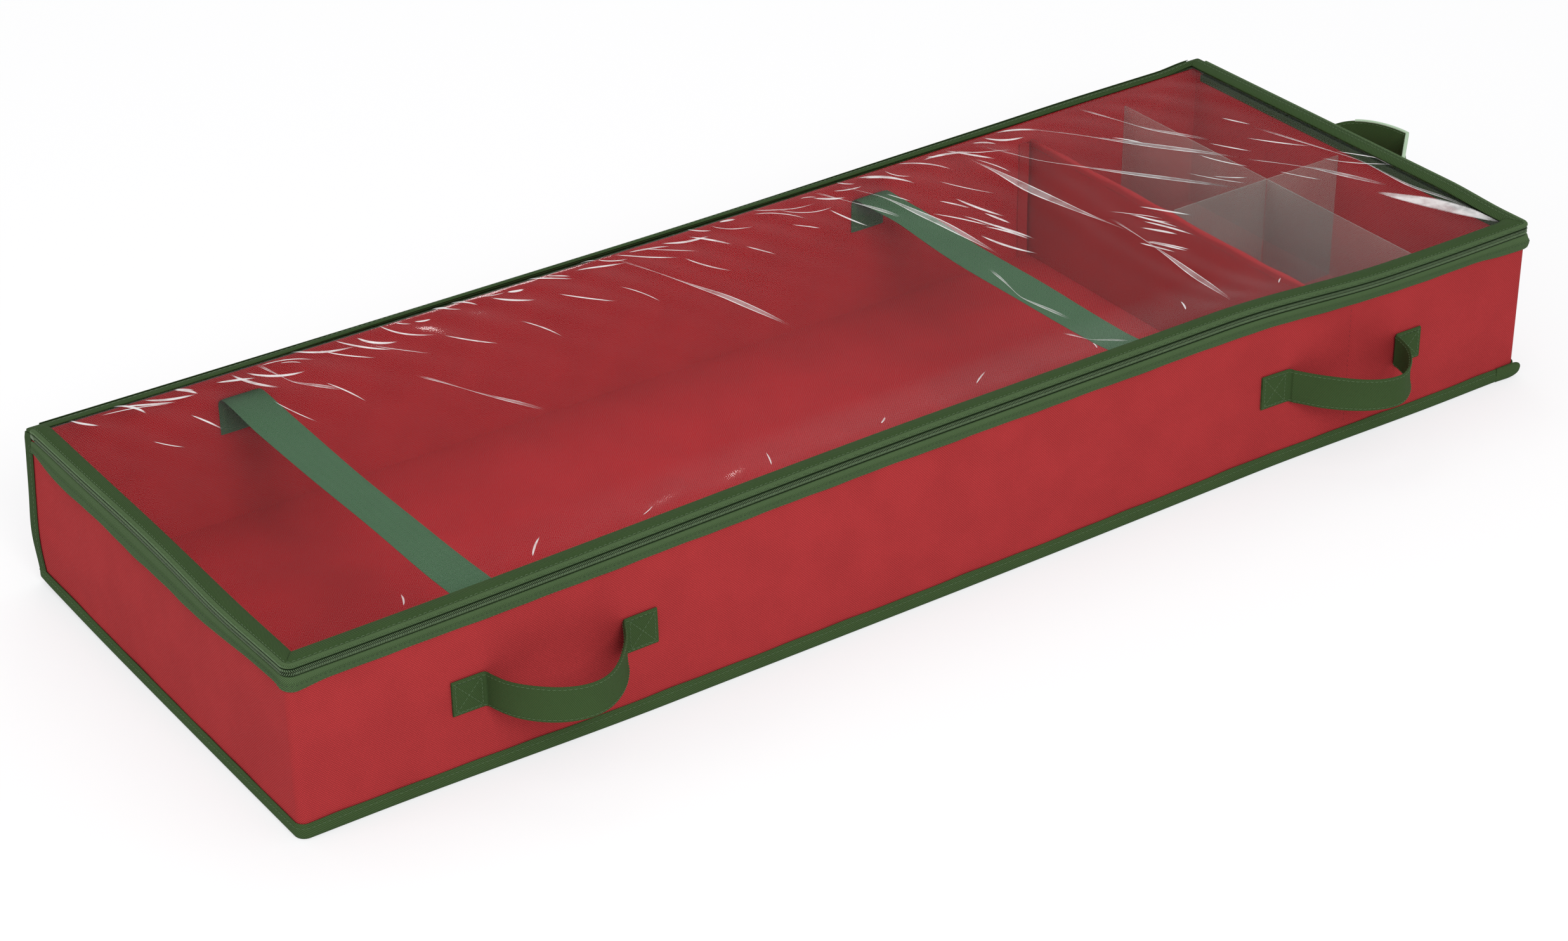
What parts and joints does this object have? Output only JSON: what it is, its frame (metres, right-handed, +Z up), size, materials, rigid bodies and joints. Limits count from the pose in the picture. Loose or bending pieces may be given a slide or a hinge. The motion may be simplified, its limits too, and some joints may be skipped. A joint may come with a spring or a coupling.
{
  "type": "gift wrap organizer",
  "caption": "Long low fabric storage box with a zipped clear lid, a long bay under elastic straps, a small bay with clear partitions, and carrying handles.",
  "frame": {"origin": "middle of the base, on the surface that the box stands on", "axes": "+X along the long side towards the small bay and the end handle, +Y towards the lid's sewn hinge, +Z up"},
  "size_m": [1.0934, 0.4173, 0.127],
  "materials": {
    "red_nonwoven": "embossed non-woven polypropylene",
    "red_lining": "embossed non-woven polypropylene, inside",
    "grey_board": "grey board",
    "green_binding": "stitched binding tape",
    "green_tape": "herringbone zip tape",
    "green_coil": "nylon coil",
    "green_elastic": "woven elastic",
    "green_handle": "folded non-woven strip with stitched edges",
    "clear_vinyl": "clear vinyl sheet",
    "frosted_sheet": "frosted PVC sheet",
    "slider_metal": "enamelled zip slider"
  },
  "bodies": {
    "case": {"side_wall_fabric": "red_nonwoven", "back_wall_fabric": "red_nonwoven", "base_fabric": "red_nonwoven", "front_wall_board": "grey_board", "back_wall_board": "grey_board", "left_wall_board": "grey_board", "right_wall_board": "grey_board", "floor_board": "grey_board", "wall_lining": "red_lining", "floor_lining": "red_lining", "bottom_binding_front": "green_binding", "bottom_binding_back": "green_binding", "bottom_binding_left": "green_binding", "bottom_binding_right": "green_binding", "corner_binding_left": "green_binding", "corner_binding_right": "green_binding", "hinge_binding": "green_binding", "lower_zip_tape": "green_tape", "lower_zip_coil": "green_coil", "zip_stop_left": "green_coil", "zip_stop_right": "green_coil", "strap_left": "green_elastic", "strap_right": "green_elastic", "divider_board": "grey_board", "divider_sleeve": "red_lining", "long_partition": "frosted_sheet", "cross_partition": "frosted_sheet", "front_left_handle_tab_left": "green_handle", "front_left_handle_tab_right": "green_handle", "front_right_handle_tab_left": "green_handle", "front_right_handle_tab_right": "green_handle", "end_handle_tab_front": "green_handle", "end_handle_tab_rear": "green_handle"},
    "lid": {"lid_window": "clear_vinyl", "lid_binding": "green_binding", "upper_zip_tape": "green_tape", "upper_zip_coil": "green_coil"},
    "slider": {"slider_body": "slider_metal"},
    "pull": {"pull_tab": "slider_metal"},
    "front_left_handle": {"front_left_handle_loop": "green_handle"},
    "front_right_handle": {"front_right_handle_loop": "green_handle"},
    "end_handle": {"end_handle_loop": "green_handle"}
  },
  "joints": [
    {"name": "lid_hinge", "type": "hinge", "parent": "case", "child": "lid", "pos_m": [0, 0.185, 0.12385], "axis": [-1, 0, 0], "range_deg": [0, 195]},
    {"name": "zip_slide", "type": "slide", "parent": "case", "child": "slider", "axis": [0, -1, 0], "range_m": [0, 0.325]},
    {"name": "pull_swing", "type": "hinge", "parent": "slider", "child": "pull", "pos_m": [0.5182, 0.1604, 0.1214], "axis": [0, 0, 1], "range_deg": [0, 170]},
    {"name": "front_left_handle_swing", "type": "hinge", "parent": "case", "child": "front_left_handle", "pos_m": [-0.33269, -0.185, 0.05847], "axis": [-1, 0, 0], "range_deg": [-45, 45]},
    {"name": "front_right_handle_swing", "type": "hinge", "parent": "case", "child": "front_right_handle", "pos_m": [0.33269, -0.185, 0.05847], "axis": [-1, 0, 0], "range_deg": [-45, 45]},
    {"name": "end_handle_swing", "type": "hinge", "parent": "case", "child": "end_handle", "pos_m": [0.515, 0, 0.0915], "axis": [0, -1, 0], "range_deg": [-45, 35]}
  ]
}
